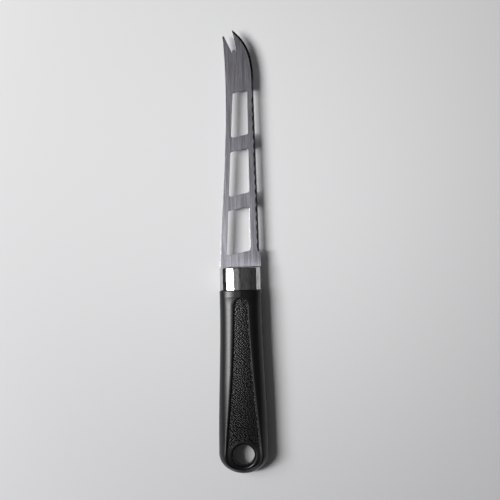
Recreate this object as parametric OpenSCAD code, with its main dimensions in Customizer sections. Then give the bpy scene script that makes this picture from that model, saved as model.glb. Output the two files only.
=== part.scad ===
// Cheese knife with a forked, windowed blade, an oval ferrule and a moulded handle.
// It lies on its side: +X towards the cutting edge, +Y towards the tip, +Z up.
// The origin is on the surface it rests on, under the middle of its length.

/* [Blade] */
// Length from the ferrule's front face to the tip
blade_len = 128.4; // [110:0.5:150]
// Thickness of the stamped sheet
blade_t = 1.2; // [0.8:0.1:2]
// Distance from the knife's axis to the spine at the heel
spine_reach = 10.75; // [9:0.05:11]
// Distance from the knife's axis to the unground heel on the edge side
heel_reach = 11.45; // [10.8:0.05:12]
// Length of the unground heel
heel_len = 7.5; // [5:0.5:12]
// Step from the unground heel down to the ground edge
heel_step = 0.85; // [0.4:0.05:1.5]
// Gap between the blade's shoulders and the ferrule
heel_gap = 0.3; // [0.1:0.05:0.5]
// Radius of the root of the fork
fork_root_r = 1.2; // [0.8:0.1:1.5]

/* [Windows] */
// Number of windows
window_count = 3; // [1:1:3]
// Length of a window along the edge side
window_len = 23.9; // [18:0.1:26]
// Distance from one window to the next
window_pitch = 31.45; // [30:0.05:32]
// Distance from the ferrule to the first window on the edge side
window_start = 8.8; // [8:0.1:12]
// Distance from the knife's axis to the windows' edge side
window_reach = 5.8; // [4.5:0.1:6.5]
// Distance from the axis, at the ferrule, to the line of the windows' spine sides
window_spine_reach = 7.4; // [6.5:0.1:7.6]
// Lean of that line towards the axis, in degrees
window_lean = 3.3; // [3:0.1:3.6]
// Slant of the windows' ends, in degrees
window_slant = 12; // [0:1:16]
// Corner radius of a window
window_round = 1.0; // [0.5:0.1:2]

/* [Ground edge] */
// Width of the bevel that is ground on the upper side
bevel_w = 1.1; // [0.6:0.1:2]
// Thickness left at the cutting edge
edge_t = 0.2; // [0.1:0.05:0.4]
// Distance from one scallop to the next
scallop_pitch = 4.9; // [3:0.1:7]
// Depth of a scallop in the outline, seen from above
scallop_depth = 0.28; // [0.1:0.02:0.4]

/* [Tang] */
// Length of the tang behind the ferrule's front face
tang_len = 76; // [50:1:80]
// Width of the tang in the ferrule
tang_w = 12; // [8:0.5:14]
// Width of the tang at its end
tang_end_w = 8; // [6:0.5:10]
// Diameter of the keying holes that the plastic fills
key_hole_d = 4; // [3:0.5:5]
// Clearance round the tang
tang_gap = 0.05; // [0.03:0.01:0.1]

/* [Ferrule] */
// Length of the ferrule
ferrule_len = 12.5; // [8:0.5:18]
// Width of the ferrule
ferrule_w = 22.1; // [20:0.1:24]
// Thickness of the ferrule through the knife
ferrule_t = 13.2; // [11:0.1:14]
// Wall of the drawn sleeve
ferrule_wall = 0.5; // [0.3:0.05:0.8]
// Radius of the turned-in front edge
ferrule_round = 0.9; // [0.3:0.1:1.2]
// Clearance between the sleeve and what it touches
ferrule_gap = 0.1; // [0.05:0.01:0.2]

/* [Handle] */
// Length of the handle behind the ferrule
handle_len = 99; // [90:0.5:110]
// Width of the handle at its front
handle_front_w = 22.7; // [22.4:0.1:24]
// Greatest width of the handle, near the butt
handle_rear_w = 26.8; // [24:0.1:30]
// Distance from the handle's front to where it starts to widen
widen_start = 8; // [0:1:20]
// Thickness of the handle through the knife
handle_t = 13.8; // [13.4:0.1:16]
// Thickness of the handle near the butt
handle_rear_t = 11.8; // [11:0.1:13.8]
// Length of the front part that keeps the full thickness, on which the knife rests
level_len = 45; // [30:1:60]
// Length of the round end of the butt, seen from above
butt_len = 11; // [9:0.5:14]
// Length of the rounding of the butt, seen from the side
butt_roll = 6; // [4:0.5:8]

/* [Sunk panel] */
// Distance from the handle's front to the top of the panel's arch
panel_start = 3.6; // [2:0.1:6]
// Distance from the panel's end to the butt
panel_end_gap = 2; // [1.5:0.1:3]
// Length of the panel's arch
arch_len = 5; // [3:0.5:8]
// Width of the panel behind its arch
panel_front_w = 7.5; // [5:0.1:9]
// Width of the panel at the widest place
panel_rear_w = 20.6; // [14:0.1:22]
// Depth of the panel at its border
panel_depth = 0.45; // [0.2:0.05:0.8]
// Rise of the panel's floor from its border to its middle
panel_crown = 0.2; // [0:0.05:0.4]
// Width of the sloping wall round the panel
wall_run = 0.35; // [0.2:0.05:0.6]
// Width of the flat land beside the front half of the panel, on which the knife rests
land_w = 1.55; // [0.4:0.05:2]
// Width of the land round the rear half of the panel
land_rear_w = 0.85; // [0.4:0.05:1.5]

/* [Hanging hole] */
// Diameter of the hanging hole
hole_d = 11.5; // [8:0.5:12]
// Distance from the hole's centre to the butt
hole_back = 10.2; // [9.5:0.1:14]
// Width of the rounded rim of the hole
rim_w = 1.1; // [0.5:0.1:1.4]
// Depth of the rounded rim of the hole
rim_depth = 1.2; // [0.5:0.1:1.6]

/* [Hidden] */

// Sides of round things in the preview
$fn = 96;
// How far a cut runs past the face it opens
overrun = 1;

// The spine, as shares of spine_reach and blade_len
spine_shares = [[-1, 0], [-0.811, 0.315], [-0.323, 0.652], [-0.64, 0.971]];
// The belly from the end of the straight edge to the tip, as the same shares
belly_shares = [[0.865, 0.74], [0.945, 0.9], [0.54, 0.952], [-0.156, 1]];
// Middle of the fork's root, and the mouths of its two inner edges, as the same shares
fork_root_share = [-0.066, 0.9055];
fork_left_share = [-0.572, 0.974];
fork_right_share = [-0.155, 1.002];
// Part of the blade's length up to which the edge is scalloped
scallop_end_share = 0.725;
// Places of the keying holes along the tang
key_hole_shares = [0.3, 0.58];
// Part of the tang's length that has its full width
tang_full_share = 0.3;
// Roundness of the handle's section: 2 is an oval, more is squarer
front_power = 2.4;
rear_power = 2;
// How the panel's sides spread: 1 is straight, more is more curved
spread_power = 1.8;
// How sharply the panel's sides turn into its round end
blend_power = 8;
// Most of the handle's half width that the panel may take
panel_limit_share = 0.82;

// Steps in a curve of the blade, and in an arc of a rounded edge
curve_steps = 28;
arc_steps = 6;
// Steps along the handle: arch, middle, round the hole, and butt
arch_steps = 8;
middle_steps = 16;
rear_steps = 12;
butt_steps = 8;
// Steps round the handle: from the side to the land, and across half a panel
shoulder_steps = 9;
floor_steps = 2;
// Sides of the ferrule
ferrule_sides = 72;
// Angle at which the butt's last ring is closed, short of a right angle
butt_last_angle = 86;
// Angle at which the hole's rounded rim meets the panel's floor
rim_meet_angle = 25;

half_t = blade_t / 2;
half_handle = handle_t / 2;
handle_front = -ferrule_len - ferrule_gap;
knife_rear = handle_front - handle_len;
mid_y = (blade_len + knife_rear) / 2;
hole_y = knife_rear + hole_back;
// Distance from the handle's front to the start of the round butt
butt_start = handle_len - butt_len;
panel_end = handle_len - panel_end_gap;
rear_len = panel_end - butt_start;
// Half width at which the panel has shrunk to nothing
panel_nothing = land_rear_w / 4;

// A point on a Bezier curve of four points
function bezier(p, t) =
    pow(1 - t, 3) * p[0] + 3 * pow(1 - t, 2) * t * p[1] + 3 * (1 - t) * t * t * p[2] + pow(t, 3) * p[3];
// Shares of the blade turned into places
function on_blade(share) = [share[0] * spine_reach, share[1] * blade_len];
function smooth(t) = t * t * (3 - 2 * t);
function unit(v) = v / norm(v);
function clamp(x, low, high) = min(max(x, low), high);

spine_points = [for (share = spine_shares) on_blade(share)];
belly_points = [for (share = belly_shares) on_blade(share)];
spine_curve = [for (i = [0:curve_steps]) bezier(spine_points, i / curve_steps)];
belly_curve = [for (i = [0:curve_steps]) bezier(belly_points, i / curve_steps)];
// Start of the ground edge, past the sloping step at the heel
edge_start = [heel_reach - heel_step, heel_len + 2 * heel_step];
edge_run = concat([edge_start], belly_curve);

// Distance from the axis to the line of the windows' spine sides
function window_x(y) = y * tan(window_lean) - window_spine_reach;
// Distance from the axis to the straight part of the edge
function edge_x(y) = lookup(y, [[edge_start[1], edge_start[0]], [belly_points[0][1], belly_points[0][0]]]);

// A closed solid through rings of points, all with as many points: with the rings
// coming towards the eye, each is counted anticlockwise
module loft(rings) {
    per = len(rings[0]);
    last = len(rings) - 1;
    faces = concat(
        [[for (k = [0:per - 1]) k]],
        [
            for (i = [0:last - 1], k = [0:per - 1])
                let (a = per * i + k, b = per * i + (k + 1) % per)
                each [[a, a + per, b], [b, a + per, b + per]]
        ],
        [[for (k = [0:per - 1]) per * last + per - 1 - k]]
    );
    polyhedron(points = [for (ring = rings, p = ring) p], faces = faces);
}

// The stamped blank

// The tang from its right shoulder round its end to its left shoulder, drawn larger by gap
function tang_points(gap) =
    let (
        full_y = -tang_len * tang_full_share,
        half_w = tang_w / 2 + gap,
        end_r = tang_end_w / 2
    )
    concat(
        [[half_w, heel_gap], [half_w, full_y]],
        [
            for (i = [0:2 * arc_steps])
                let (angle = -90 * i / arc_steps)
                [(end_r + gap) * cos(angle), end_r - tang_len + (end_r + gap) * sin(angle)]
        ],
        [[-half_w, full_y], [-half_w, heel_gap]]
    );

module key_holes(r) {
    for (share = key_hole_shares) translate([0, -tang_len * share]) circle(r = r);
}

// Blade and tang, one piece of sheet
module blank_outline() {
    polygon(concat(
        tang_points(0),
        [[-spine_reach, heel_gap]],
        [for (i = [1:curve_steps]) spine_curve[i]],
        [for (i = [0:curve_steps]) belly_curve[curve_steps - i]],
        [edge_start, [heel_reach, heel_len], [heel_reach, heel_gap]]
    ));
}

// Where a line from m touches a circle; side is 1 or -1
function touch(c, r, m, side) =
    let (angle = atan2(m[1] - c[1], m[0] - c[0]) + side * acos(r / norm(m - c)))
    c + r * [cos(angle), sin(angle)];

module fork_notch() {
    root = on_blade(fork_root_share);
    left = on_blade(fork_left_share);
    right = on_blade(fork_right_share);
    left_touch = touch(root, fork_root_r, left, 1);
    right_touch = touch(root, fork_root_r, right, -1);
    far_left = left + unit(left - left_touch) * 2 * overrun;
    far_right = right + unit(right - right_touch) * 2 * overrun;
    polygon([far_left, left_touch, root, right_touch, far_right]);
    translate(root) circle(r = fork_root_r);
}

// Middle of the rounding in corner b of the corners a, b, c
function corner_middle(a, b, c, r) =
    let (u = unit(a - b), w = unit(c - b), half = acos(u * w) / 2)
    b + unit(u + w) * r / sin(half);
// Where that rounding meets the side from b towards a
function corner_touch(a, b, c, r) =
    let (u = unit(a - b), w = unit(c - b), half = acos(u * w) / 2)
    b + u * r / tan(half);

module rounded_outline(corners, r) {
    n = len(corners);
    polygon([
        for (i = [0:n - 1], end = [-1, 1])
            corner_touch(corners[(i + end + n) % n], corners[i], corners[(i - end + n) % n], r)
    ]);
    for (i = [0:n - 1])
        translate(corner_middle(corners[(i + n - 1) % n], corners[i], corners[(i + 1) % n], r))
            circle(r = r);
}

// Where a window's slanting end, from a place on the edge side, meets the spine side
function window_meet(y) =
    let (
        slope = tan(window_slant),
        meet_y = (y - slope * (window_reach + window_spine_reach)) / (1 - slope * tan(window_lean))
    )
    [window_x(meet_y), meet_y];

function window_corners(i) =
    let (low = window_start + i * window_pitch, high = low + window_len)
    [window_meet(low), window_meet(high), [window_reach, high], [window_reach, low]];

// The ground edge

// Direction along a run of points at point i, the blade on its left
function way(run, i) =
    let (last = len(run) - 1)
    unit(run[min(i + 1, last)] - run[max(i - 1, 0)]);

// What the wheel takes off the upper side along a run: a wedge that starts before the
// run's first point and ends past its last
module bevel_cut(run, before, past) {
    slope = (blade_t - edge_t) / bevel_w;
    places = [
        [overrun, half_t + overrun * slope],
        [overrun, half_t - (bevel_w + overrun) * slope],
        [-bevel_w - overrun, half_t + overrun * slope]
    ];
    last = len(run) - 1;
    loft([
        for (i = [0:last])
            let (
                ahead = way(run, i),
                out = [ahead[1], -ahead[0]],
                middle = run[i] + (i == 0 ? -before : i == last ? past : 0) * ahead
            )
            [for (p = places) [middle[0] + p[0] * out[0], middle[1] + p[0] * out[1], p[1]]]
    ]);
}

// The flutes of the scallops, square to the edge: each starts at the top of the bevel
// and falls more steeply, so that it reaches the underside inside the outline
module scallop_cuts() {
    fall = atan(blade_t / (bevel_w - scallop_depth));
    sunk = scallop_depth * sin(fall);
    r = (pow(scallop_pitch / 2, 2) + sunk * sunk) / (2 * sunk);
    end_y = blade_len * scallop_end_share;
    for (y = [edge_start[1] + scallop_pitch / 2 : scallop_pitch : end_y])
        translate([edge_x(y) - bevel_w, y, half_t])
            rotate([0, 90 + fall, 0])
                translate([-r, 0, 0])
                    cylinder(r = r, h = 4 * (bevel_w + overrun), center = true);
}

module blade() {
    color([0.72, 0.71, 0.74])
    in_place() difference() {
        translate([0, 0, -half_t]) linear_extrude(height = blade_t) difference() {
            blank_outline();
            fork_notch();
            for (i = [0:window_count - 1]) rounded_outline(window_corners(i), window_round);
            key_holes(key_hole_d / 2);
        }
        bevel_cut(edge_run, heel_step, overrun);
        // The wheel takes the end of the fork's other prong too
        bevel_cut([on_blade(fork_left_share), spine_points[3]], overrun, overrun);
        scallop_cuts();
    }
}

// The ferrule

// Rings of a solid oval from its front back to its rear, the front edge rounded
function oval_rings(half_w, half_h, front, rear, round_r, sides) =
    let (
        steps = concat(
            [
                for (i = [0:arc_steps])
                    let (angle = 90 * i / arc_steps)
                    [round_r * (1 - sin(angle)), front - round_r * (1 - cos(angle))]
            ],
            [[0, rear]]
        )
    )
    [
        for (step = steps)
            [
                for (k = [0:sides - 1])
                    let (angle = 360 * k / sides)
                    [(half_w - step[0]) * cos(angle), step[1], (half_h - step[0]) * sin(angle)]
            ]
    ];

module ferrule() {
    inner_round = max(ferrule_round - ferrule_wall, ferrule_wall / 2);
    color([0.82, 0.82, 0.83])
    in_place() difference() {
        loft(oval_rings(
            ferrule_w / 2, ferrule_t / 2, 0, -ferrule_len, ferrule_round, ferrule_sides
        ));
        loft(oval_rings(
            ferrule_w / 2 - ferrule_wall, ferrule_t / 2 - ferrule_wall,
            -ferrule_wall, -ferrule_len - overrun, inner_round, ferrule_sides
        ));
        // Slot for the tang
        cube([tang_w + 2 * ferrule_gap, 4 * overrun, blade_t + 2 * ferrule_gap], center = true);
    }
}

// The handle

// Half width of the handle at a distance from its front
function handle_half(s) =
    let (
        grow = smooth(clamp((s - widen_start) / (butt_start - widen_start), 0, 1)),
        side = (handle_front_w + (handle_rear_w - handle_front_w) * grow) / 2,
        past = clamp((s - butt_start) / butt_len, 0, 1)
    )
    side * sqrt(1 - past * past);

// How far the handle has changed from its front part to its rear, from 0 to 1
function changed(s) = smooth(clamp((s - level_len) / (butt_start - level_len), 0, 1));

// Half thickness at the lands, without the rounding of the butt
function land_rise(s) = (handle_t + (handle_rear_t - handle_t) * changed(s)) / 2;

// The same with the rounding
function handle_rise(s) =
    let (past = clamp((s - handle_len + butt_roll) / butt_roll, 0, 1))
    land_rise(s) * sqrt(1 - past * past);

function section_power(s) = front_power + (rear_power - front_power) * changed(s);

// Width of the land, which narrows over the second half of the level part
function land_width(s) = land_w + (land_rear_w - land_w) * smooth(clamp(2 * s / level_len - 1, 0, 1));

// Half width of the panel, drawn in all round by inset
function panel_half(s, inset) =
    let (
        first = panel_start + inset,
        last = panel_end - inset,
        sides = (panel_front_w + (panel_rear_w - panel_front_w) * pow(s / butt_start, spread_power)) / 2 - inset,
        arch = clamp((first + arch_len - s) / arch_len, 0, 1),
        past = clamp((s - last + rear_len) / rear_len, 0, 1),
        rear = panel_rear_w / 2 * sqrt(1 - past * past),
        both = rear <= 0 ? 0 : pow(pow(sides, -blend_power) + pow(rear, -blend_power), -1 / blend_power)
    )
    max(panel_nothing, both * sqrt(1 - arch * arch));

// How much of the panel's depth is reached on the axis at a place along the handle
function sunk_share(s) =
    clamp(min(s - panel_start, panel_end - s) / wall_run, 0, 1);

// One quarter of a section, from the side to the axis, as [x, z] points
function quarter(s) =
    let (
        half = handle_half(s),
        rise = handle_rise(s),
        power = section_power(s),
        border = min(panel_half(s, 0), half * panel_limit_share),
        floor_half = min(panel_half(s, wall_run), border - min(wall_run, border) / 2),
        land = border + min(land_width(s), (half - border) / 2),
        turn = acos(pow(land / half, power / 2)),
        depth = panel_depth * sunk_share(s)
    )
    concat(
        [
            for (i = [0:shoulder_steps])
                let (angle = turn * i / shoulder_steps)
                [half * pow(cos(angle), 2 / power), rise * pow(sin(angle) / sin(turn), 2 / power)]
        ],
        [[border, rise]],
        [
            for (i = [0:floor_steps])
                let (t = i / floor_steps)
                [floor_half * (1 - t), rise - depth + panel_crown * sunk_share(s) * (1 - pow(1 - t, 2))]
        ]
    );

// A whole section, counted from +X over the top
function section(s) =
    let (q = quarter(s), n = len(q))
    concat(
        q,
        [for (i = [1:n - 1]) [-q[n - 1 - i][0], q[n - 1 - i][1]]],
        [for (i = [1:n - 1]) [-q[i][0], -q[i][1]]],
        [for (i = [1:n - 2]) [q[n - 1 - i][0], -q[n - 1 - i][1]]]
    );

// Places of the sections, counted from the handle's front
arch_end = panel_start + arch_len;
butt_first_angle = asin(rear_len / butt_len);
stations = concat(
    [0],
    [for (i = [0:arch_steps]) panel_start + arch_len * (1 - cos(90 * i / arch_steps))],
    [for (i = [1:middle_steps]) arch_end + (butt_start - arch_end) * i / middle_steps],
    [for (i = [1:rear_steps]) butt_start + rear_len * sin(90 * i / rear_steps)],
    [
        for (i = [1:butt_steps])
            butt_start + butt_len * sin(
                butt_first_angle + (butt_last_angle - butt_first_angle) * i / butt_steps
            )
    ]
);

// The grip, with the spigot that fills the ferrule in front of it
module handle_body() {
    spigot = oval_rings(
        ferrule_w / 2 - ferrule_wall - ferrule_gap,
        ferrule_t / 2 - ferrule_wall - ferrule_gap,
        -ferrule_wall - ferrule_gap, handle_front, ferrule_round, len(section(0))
    );
    grip = [for (s = stations) [for (p = section(s)) [p[0], handle_front - s, p[1]]]];
    loft(concat(spigot, grip));
}

// Rounded rim of the hole, on one side: the arc meets the floor at a slant
module rim_cut() {
    rim_z = land_rise(handle_len - hole_back) - panel_depth + panel_crown / 2;
    reach = 1 - sin(rim_meet_angle);
    drop = cos(rim_meet_angle);
    r = hole_d / 2;
    rotate_extrude() polygon(concat(
        [[0, rim_z + overrun], [r + rim_w + overrun * reach, rim_z + overrun]],
        [
            for (i = [0:arc_steps])
                let (angle = rim_meet_angle + (90 - rim_meet_angle) * i / arc_steps)
                [
                    r + rim_w * (1 - sin(angle)) / reach,
                    rim_z - rim_depth * (drop - cos(angle)) / drop
                ]
        ],
        [[0, rim_z - rim_depth]]
    ));
}

module handle() {
    color([0.07, 0.07, 0.075])
    in_place() difference() {
        handle_body();
        // Socket of the tang, with the posts that fill its keying holes
        translate([0, 0, -half_t - tang_gap]) linear_extrude(height = blade_t + 2 * tang_gap)
            difference() {
                polygon(tang_points(tang_gap));
                key_holes(key_hole_d / 2 - tang_gap);
            }
        // Hanging hole
        translate([0, hole_y, 0]) {
            cylinder(d = hole_d, h = handle_t + 2 * overrun, center = true);
            rim_cut();
            mirror([0, 0, 1]) rim_cut();
        }
    }
}

// Stands the knife over the origin, on the lands of its lower panel
module in_place() {
    translate([0, -mid_y, half_handle]) children();
}

blade();
ferrule();
handle();
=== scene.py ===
"""Cheese knife: a stamped and ground blade, a polished ferrule and a moulded handle.

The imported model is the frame. Each class below makes one piece of the knife as a fine
mesh at the size and place of its CAD node, and dresses it in the finish of the real one.
Lengths are millimetres in the finishes and in the knife's classes, and metres in the
studio's. A piece is drawn with its origin on the knife's axis at the ferrule's front
face: x towards the cutting edge, y towards the tip, z up.
"""

import logging
import math
from dataclasses import dataclass
from enum import Enum

import bpy
import numpy as np
from mathutils import Matrix, Vector
from mathutils.geometry import delaunay_2d_cdt


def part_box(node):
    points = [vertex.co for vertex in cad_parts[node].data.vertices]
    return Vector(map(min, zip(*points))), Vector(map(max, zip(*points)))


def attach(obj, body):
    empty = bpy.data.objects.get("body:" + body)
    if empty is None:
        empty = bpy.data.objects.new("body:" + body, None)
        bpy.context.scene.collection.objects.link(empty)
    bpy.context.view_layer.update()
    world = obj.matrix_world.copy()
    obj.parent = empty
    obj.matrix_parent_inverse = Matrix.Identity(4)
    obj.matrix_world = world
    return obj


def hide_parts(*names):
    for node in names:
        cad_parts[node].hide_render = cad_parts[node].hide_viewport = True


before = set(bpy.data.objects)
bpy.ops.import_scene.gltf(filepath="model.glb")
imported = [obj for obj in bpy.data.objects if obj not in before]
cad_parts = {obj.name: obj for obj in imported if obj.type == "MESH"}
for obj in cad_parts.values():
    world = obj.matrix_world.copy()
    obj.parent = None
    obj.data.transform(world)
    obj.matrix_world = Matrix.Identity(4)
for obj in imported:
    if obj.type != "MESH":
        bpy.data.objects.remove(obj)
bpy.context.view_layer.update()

MM = 0.001
BODY = "root"
# Steepest mitre of an outline that is drawn in, as the cosine of half its turn
MITRE_LIMIT = 0.25
# Points nearer than this, in millimetres, are one, and no outline's rise is less
TINY = 1e-6
log = logging.getLogger("cheese_knife")


# Places and small helpers


class Side(Enum):
    """The two broad sides of the knife."""

    UPPER = 1
    LOWER = -1


def linear(colour: str) -> tuple[float, float, float, float]:
    """Turns an sRGB hex colour into linear RGBA.

    Args:
        colour: Six hex digits after a number sign.

    Returns:
        Red, green, blue and an alpha of 1.
    """
    parts = [int(colour[i : i + 2], 16) / 255 for i in (1, 3, 5)]
    low, foot, gain, power = 0.04045, 12.92, 0.055, 2.4
    return (*(c / foot if c <= low else ((c + gain) / (1 + gain)) ** power for c in parts), 1.0)


def add_node(
    tree: bpy.types.NodeTree, kind: str, inputs: dict | None = None, **settings
) -> bpy.types.Node:
    """Adds a node, makes its settings, and fills or links its inputs.

    Args:
        tree: The node tree that gets the node.
        kind: Blender's name for the node's type.
        inputs: Values or output sockets, by the input's name or number.
        settings: The node's own properties.

    Returns:
        The new node.
    """
    made = tree.nodes.new(kind)
    for name, value in settings.items():
        setattr(made, name, value)
    for name, value in (inputs or {}).items():
        if isinstance(value, bpy.types.NodeSocket):
            tree.links.new(value, made.inputs[name])
        else:
            made.inputs[name].default_value = value
    return made


def new_material(name: str) -> tuple[bpy.types.Material, bpy.types.NodeTree]:
    """Makes an empty node material.

    Args:
        name: The material's name.

    Returns:
        The material and its node tree.
    """
    material = bpy.data.materials.new(name)
    material.use_nodes = True
    material.node_tree.nodes.clear()
    return material, material.node_tree


def finish_shader(tree: bpy.types.NodeTree, **sockets) -> None:
    """Adds the surface shader and the material's output.

    Args:
        tree: The material's node tree.
        sockets: The shader's inputs, with underscores for spaces.
    """
    inputs = {name.replace("_", " "): value for name, value in sockets.items()}
    shader = add_node(tree, "ShaderNodeBsdfPrincipled", inputs)
    add_node(tree, "ShaderNodeOutputMaterial", {"Surface": shader.outputs["BSDF"]})


def blended(
    tree: bpy.types.NodeTree,
    share: bpy.types.NodeSocket,
    first: str,
    second: str,
    span: tuple[float, float] = (0.0, 1.0),
) -> bpy.types.NodeSocket:
    """Mixes two sRGB hex colours.

    Args:
        tree: The material's node tree.
        share: The second colour's share, from 0 to 1.
        first: The colour up to the span's start.
        second: The colour from the span's end on.
        span: Where the share starts and ends its change.

    Returns:
        The mixed colour's socket.
    """
    ramp = add_node(tree, "ShaderNodeValToRGB", {"Fac": share})
    for stop, place, colour in zip(ramp.color_ramp.elements, span, (first, second)):
        stop.position = place
        stop.color = linear(colour)
    return ramp.outputs["Color"]


def stretched(
    tree: bpy.types.NodeTree, pitches_mm: tuple[float, float, float], turn_deg: float = 0.0
) -> bpy.types.NodeSocket:
    """Gives object coordinates counted in pitches of a pattern.

    Args:
        tree: The material's node tree.
        pitches_mm: Size of one cell of the pattern along its x, y and z, in millimetres.
        turn_deg: How far the pattern is turned from x towards y.

    Returns:
        The coordinates' socket.
    """
    place = add_node(tree, "ShaderNodeTexCoord").outputs["Object"]
    inputs = {
        "Vector": place,
        "Rotation": (0, 0, math.radians(turn_deg)),
        "Scale": [pitch * MM for pitch in pitches_mm],
    }
    return add_node(tree, "ShaderNodeMapping", inputs, vector_type="TEXTURE").outputs["Vector"]


@dataclass
class Seat:
    """Where the drawing's origin lies in the frame, in metres."""

    y: float
    z: float

    @classmethod
    def from_frame(cls) -> "Seat":
        """Reads the ferrule's front face and the knife's mid-plane from the CAD nodes."""
        low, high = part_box("ferrule")
        return cls(y=high.y, z=(low.z + high.z) / 2)

    def matrix(self) -> Matrix:
        """The change from millimetres in the drawing to metres in the frame."""
        return Matrix.Translation((0, self.y, self.z)) @ Matrix.Scale(MM, 4)


@dataclass
class Shell:
    """Points and faces of a mesh that is being made, in millimetres."""

    points: list
    faces: list

    def ring(self, points: np.ndarray) -> list[int]:
        """Adds a row of points.

        Args:
            points: Their x, y and z.

        Returns:
            Their numbers in the mesh.
        """
        first = len(self.points)
        self.points.extend(tuple(float(c) for c in p) for p in points)
        return list(range(first, len(self.points)))

    def band(self, first: list[int], second: list[int]) -> None:
        """Joins two closed rows of points, as many in each, by four-sided faces.

        Args:
            first: Numbers of the first row's points.
            second: Numbers of the second row's points.
        """
        count = len(first)
        for i in range(count):
            j = (i + 1) % count
            self.faces.append((first[i], first[j], second[j], second[i]))

    def piece(self, name: str, seat: Seat, smooth_deg: float) -> bpy.types.Object:
        """Makes the object.

        Args:
            name: The piece's name.
            seat: The drawing's place in the frame.
            smooth_deg: Faces that meet at less than this angle shade as one surface.

        Returns:
            The new object, in metres.
        """
        mesh = bpy.data.meshes.new(name)
        mesh.from_pydata(self.points, [], self.faces)
        mesh.transform(seat.matrix())
        mesh.validate()
        piece = bpy.data.objects.new(name, mesh)
        bpy.context.scene.collection.objects.link(piece)
        shade(piece, smooth_deg)
        return piece


def shade(piece: bpy.types.Object, smooth_deg: float) -> None:
    """Shades a piece smooth, with a crease wherever faces meet at a larger angle."""
    piece.data.shade_smooth()
    piece.data.set_sharp_from_angle(angle=math.radians(smooth_deg))


def cut(piece: bpy.types.Object, cutter: bpy.types.Object) -> None:
    """Takes a cutter's solid out of a piece and deletes the cutter.

    Args:
        piece: The object that is cut.
        cutter: The object whose solid is taken away.
    """
    modifier = piece.modifiers.new("cut", "BOOLEAN")
    modifier.operation = "DIFFERENCE"
    modifier.solver = "EXACT"
    modifier.material_mode = "TRANSFER"
    modifier.object = cutter
    graph = bpy.context.evaluated_depsgraph_get()
    result = bpy.data.meshes.new_from_object(piece.evaluated_get(graph))
    piece.modifiers.clear()
    old, piece.data = piece.data, result
    result.name = piece.name
    bpy.data.meshes.remove(old)
    bpy.data.objects.remove(cutter)


def smooth_step(t: np.ndarray | float) -> np.ndarray | float:
    """A rise from 0 to 1 that starts and ends level."""
    t = np.clip(t, 0, 1)
    return t * t * (3 - 2 * t)


def bezier(corners: np.ndarray, count: int) -> np.ndarray:
    """Draws a Bezier curve.

    Args:
        corners: Its four corners.
        count: How many points it gets.

    Returns:
        The points.
    """
    t = np.linspace(0, 1, count)[:, None]
    a, b, c, d = corners
    return (1 - t) ** 3 * a + 3 * (1 - t) ** 2 * t * b + 3 * (1 - t) * t * t * c + t**3 * d


def filled(points: np.ndarray, step: float) -> np.ndarray:
    """Adds points to a closed outline, so that none lie further apart than a step.

    Args:
        points: The outline's corners.
        step: The largest distance between neighbours.

    Returns:
        The outline with the added points.
    """
    made = []
    for a, b in zip(points, np.roll(points, -1, axis=0)):
        count = max(1, math.ceil(np.linalg.norm(b - a) / step))
        made.extend(a + (b - a) * i / count for i in range(count))
    return np.array(made)


def inset(points: np.ndarray, distance: float) -> np.ndarray:
    """Draws a closed outline in to its left by a small distance, with mitred corners.

    Args:
        points: The outline's points.
        distance: How far it is drawn in.

    Returns:
        As many points, each moved.
    """
    before = points - np.roll(points, 1, axis=0)
    after = np.roll(points, -1, axis=0) - points
    before /= np.linalg.norm(before, axis=1)[:, None]
    after /= np.linalg.norm(after, axis=1)[:, None]
    left_before = np.stack([-before[:, 1], before[:, 0]], axis=1)
    left_after = np.stack([-after[:, 1], after[:, 0]], axis=1)
    middle = left_before + left_after
    middle /= np.linalg.norm(middle, axis=1)[:, None]
    share = np.maximum(np.sum(middle * left_before, axis=1), MITRE_LIMIT)
    return points + middle * (distance / share)[:, None]


def inside(places: np.ndarray, outline: np.ndarray) -> np.ndarray:
    """Says which places lie inside a closed outline.

    Args:
        places: The places' x and y.
        outline: The outline's points.

    Returns:
        One yes or no for each place.
    """
    x, y = places[:, 0][:, None], places[:, 1][:, None]
    a, b = outline, np.roll(outline, -1, axis=0)
    rise = b[:, 1] - a[:, 1]
    rise = np.where(rise == 0, TINY, rise)
    crosses = (a[:, 1] > y) != (b[:, 1] > y)
    left_of = x < (b[:, 0] - a[:, 0]) * (y - a[:, 1]) / rise + a[:, 0]
    return np.sum(crosses & left_of, axis=1) % 2 == 1


# Finishes


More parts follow.
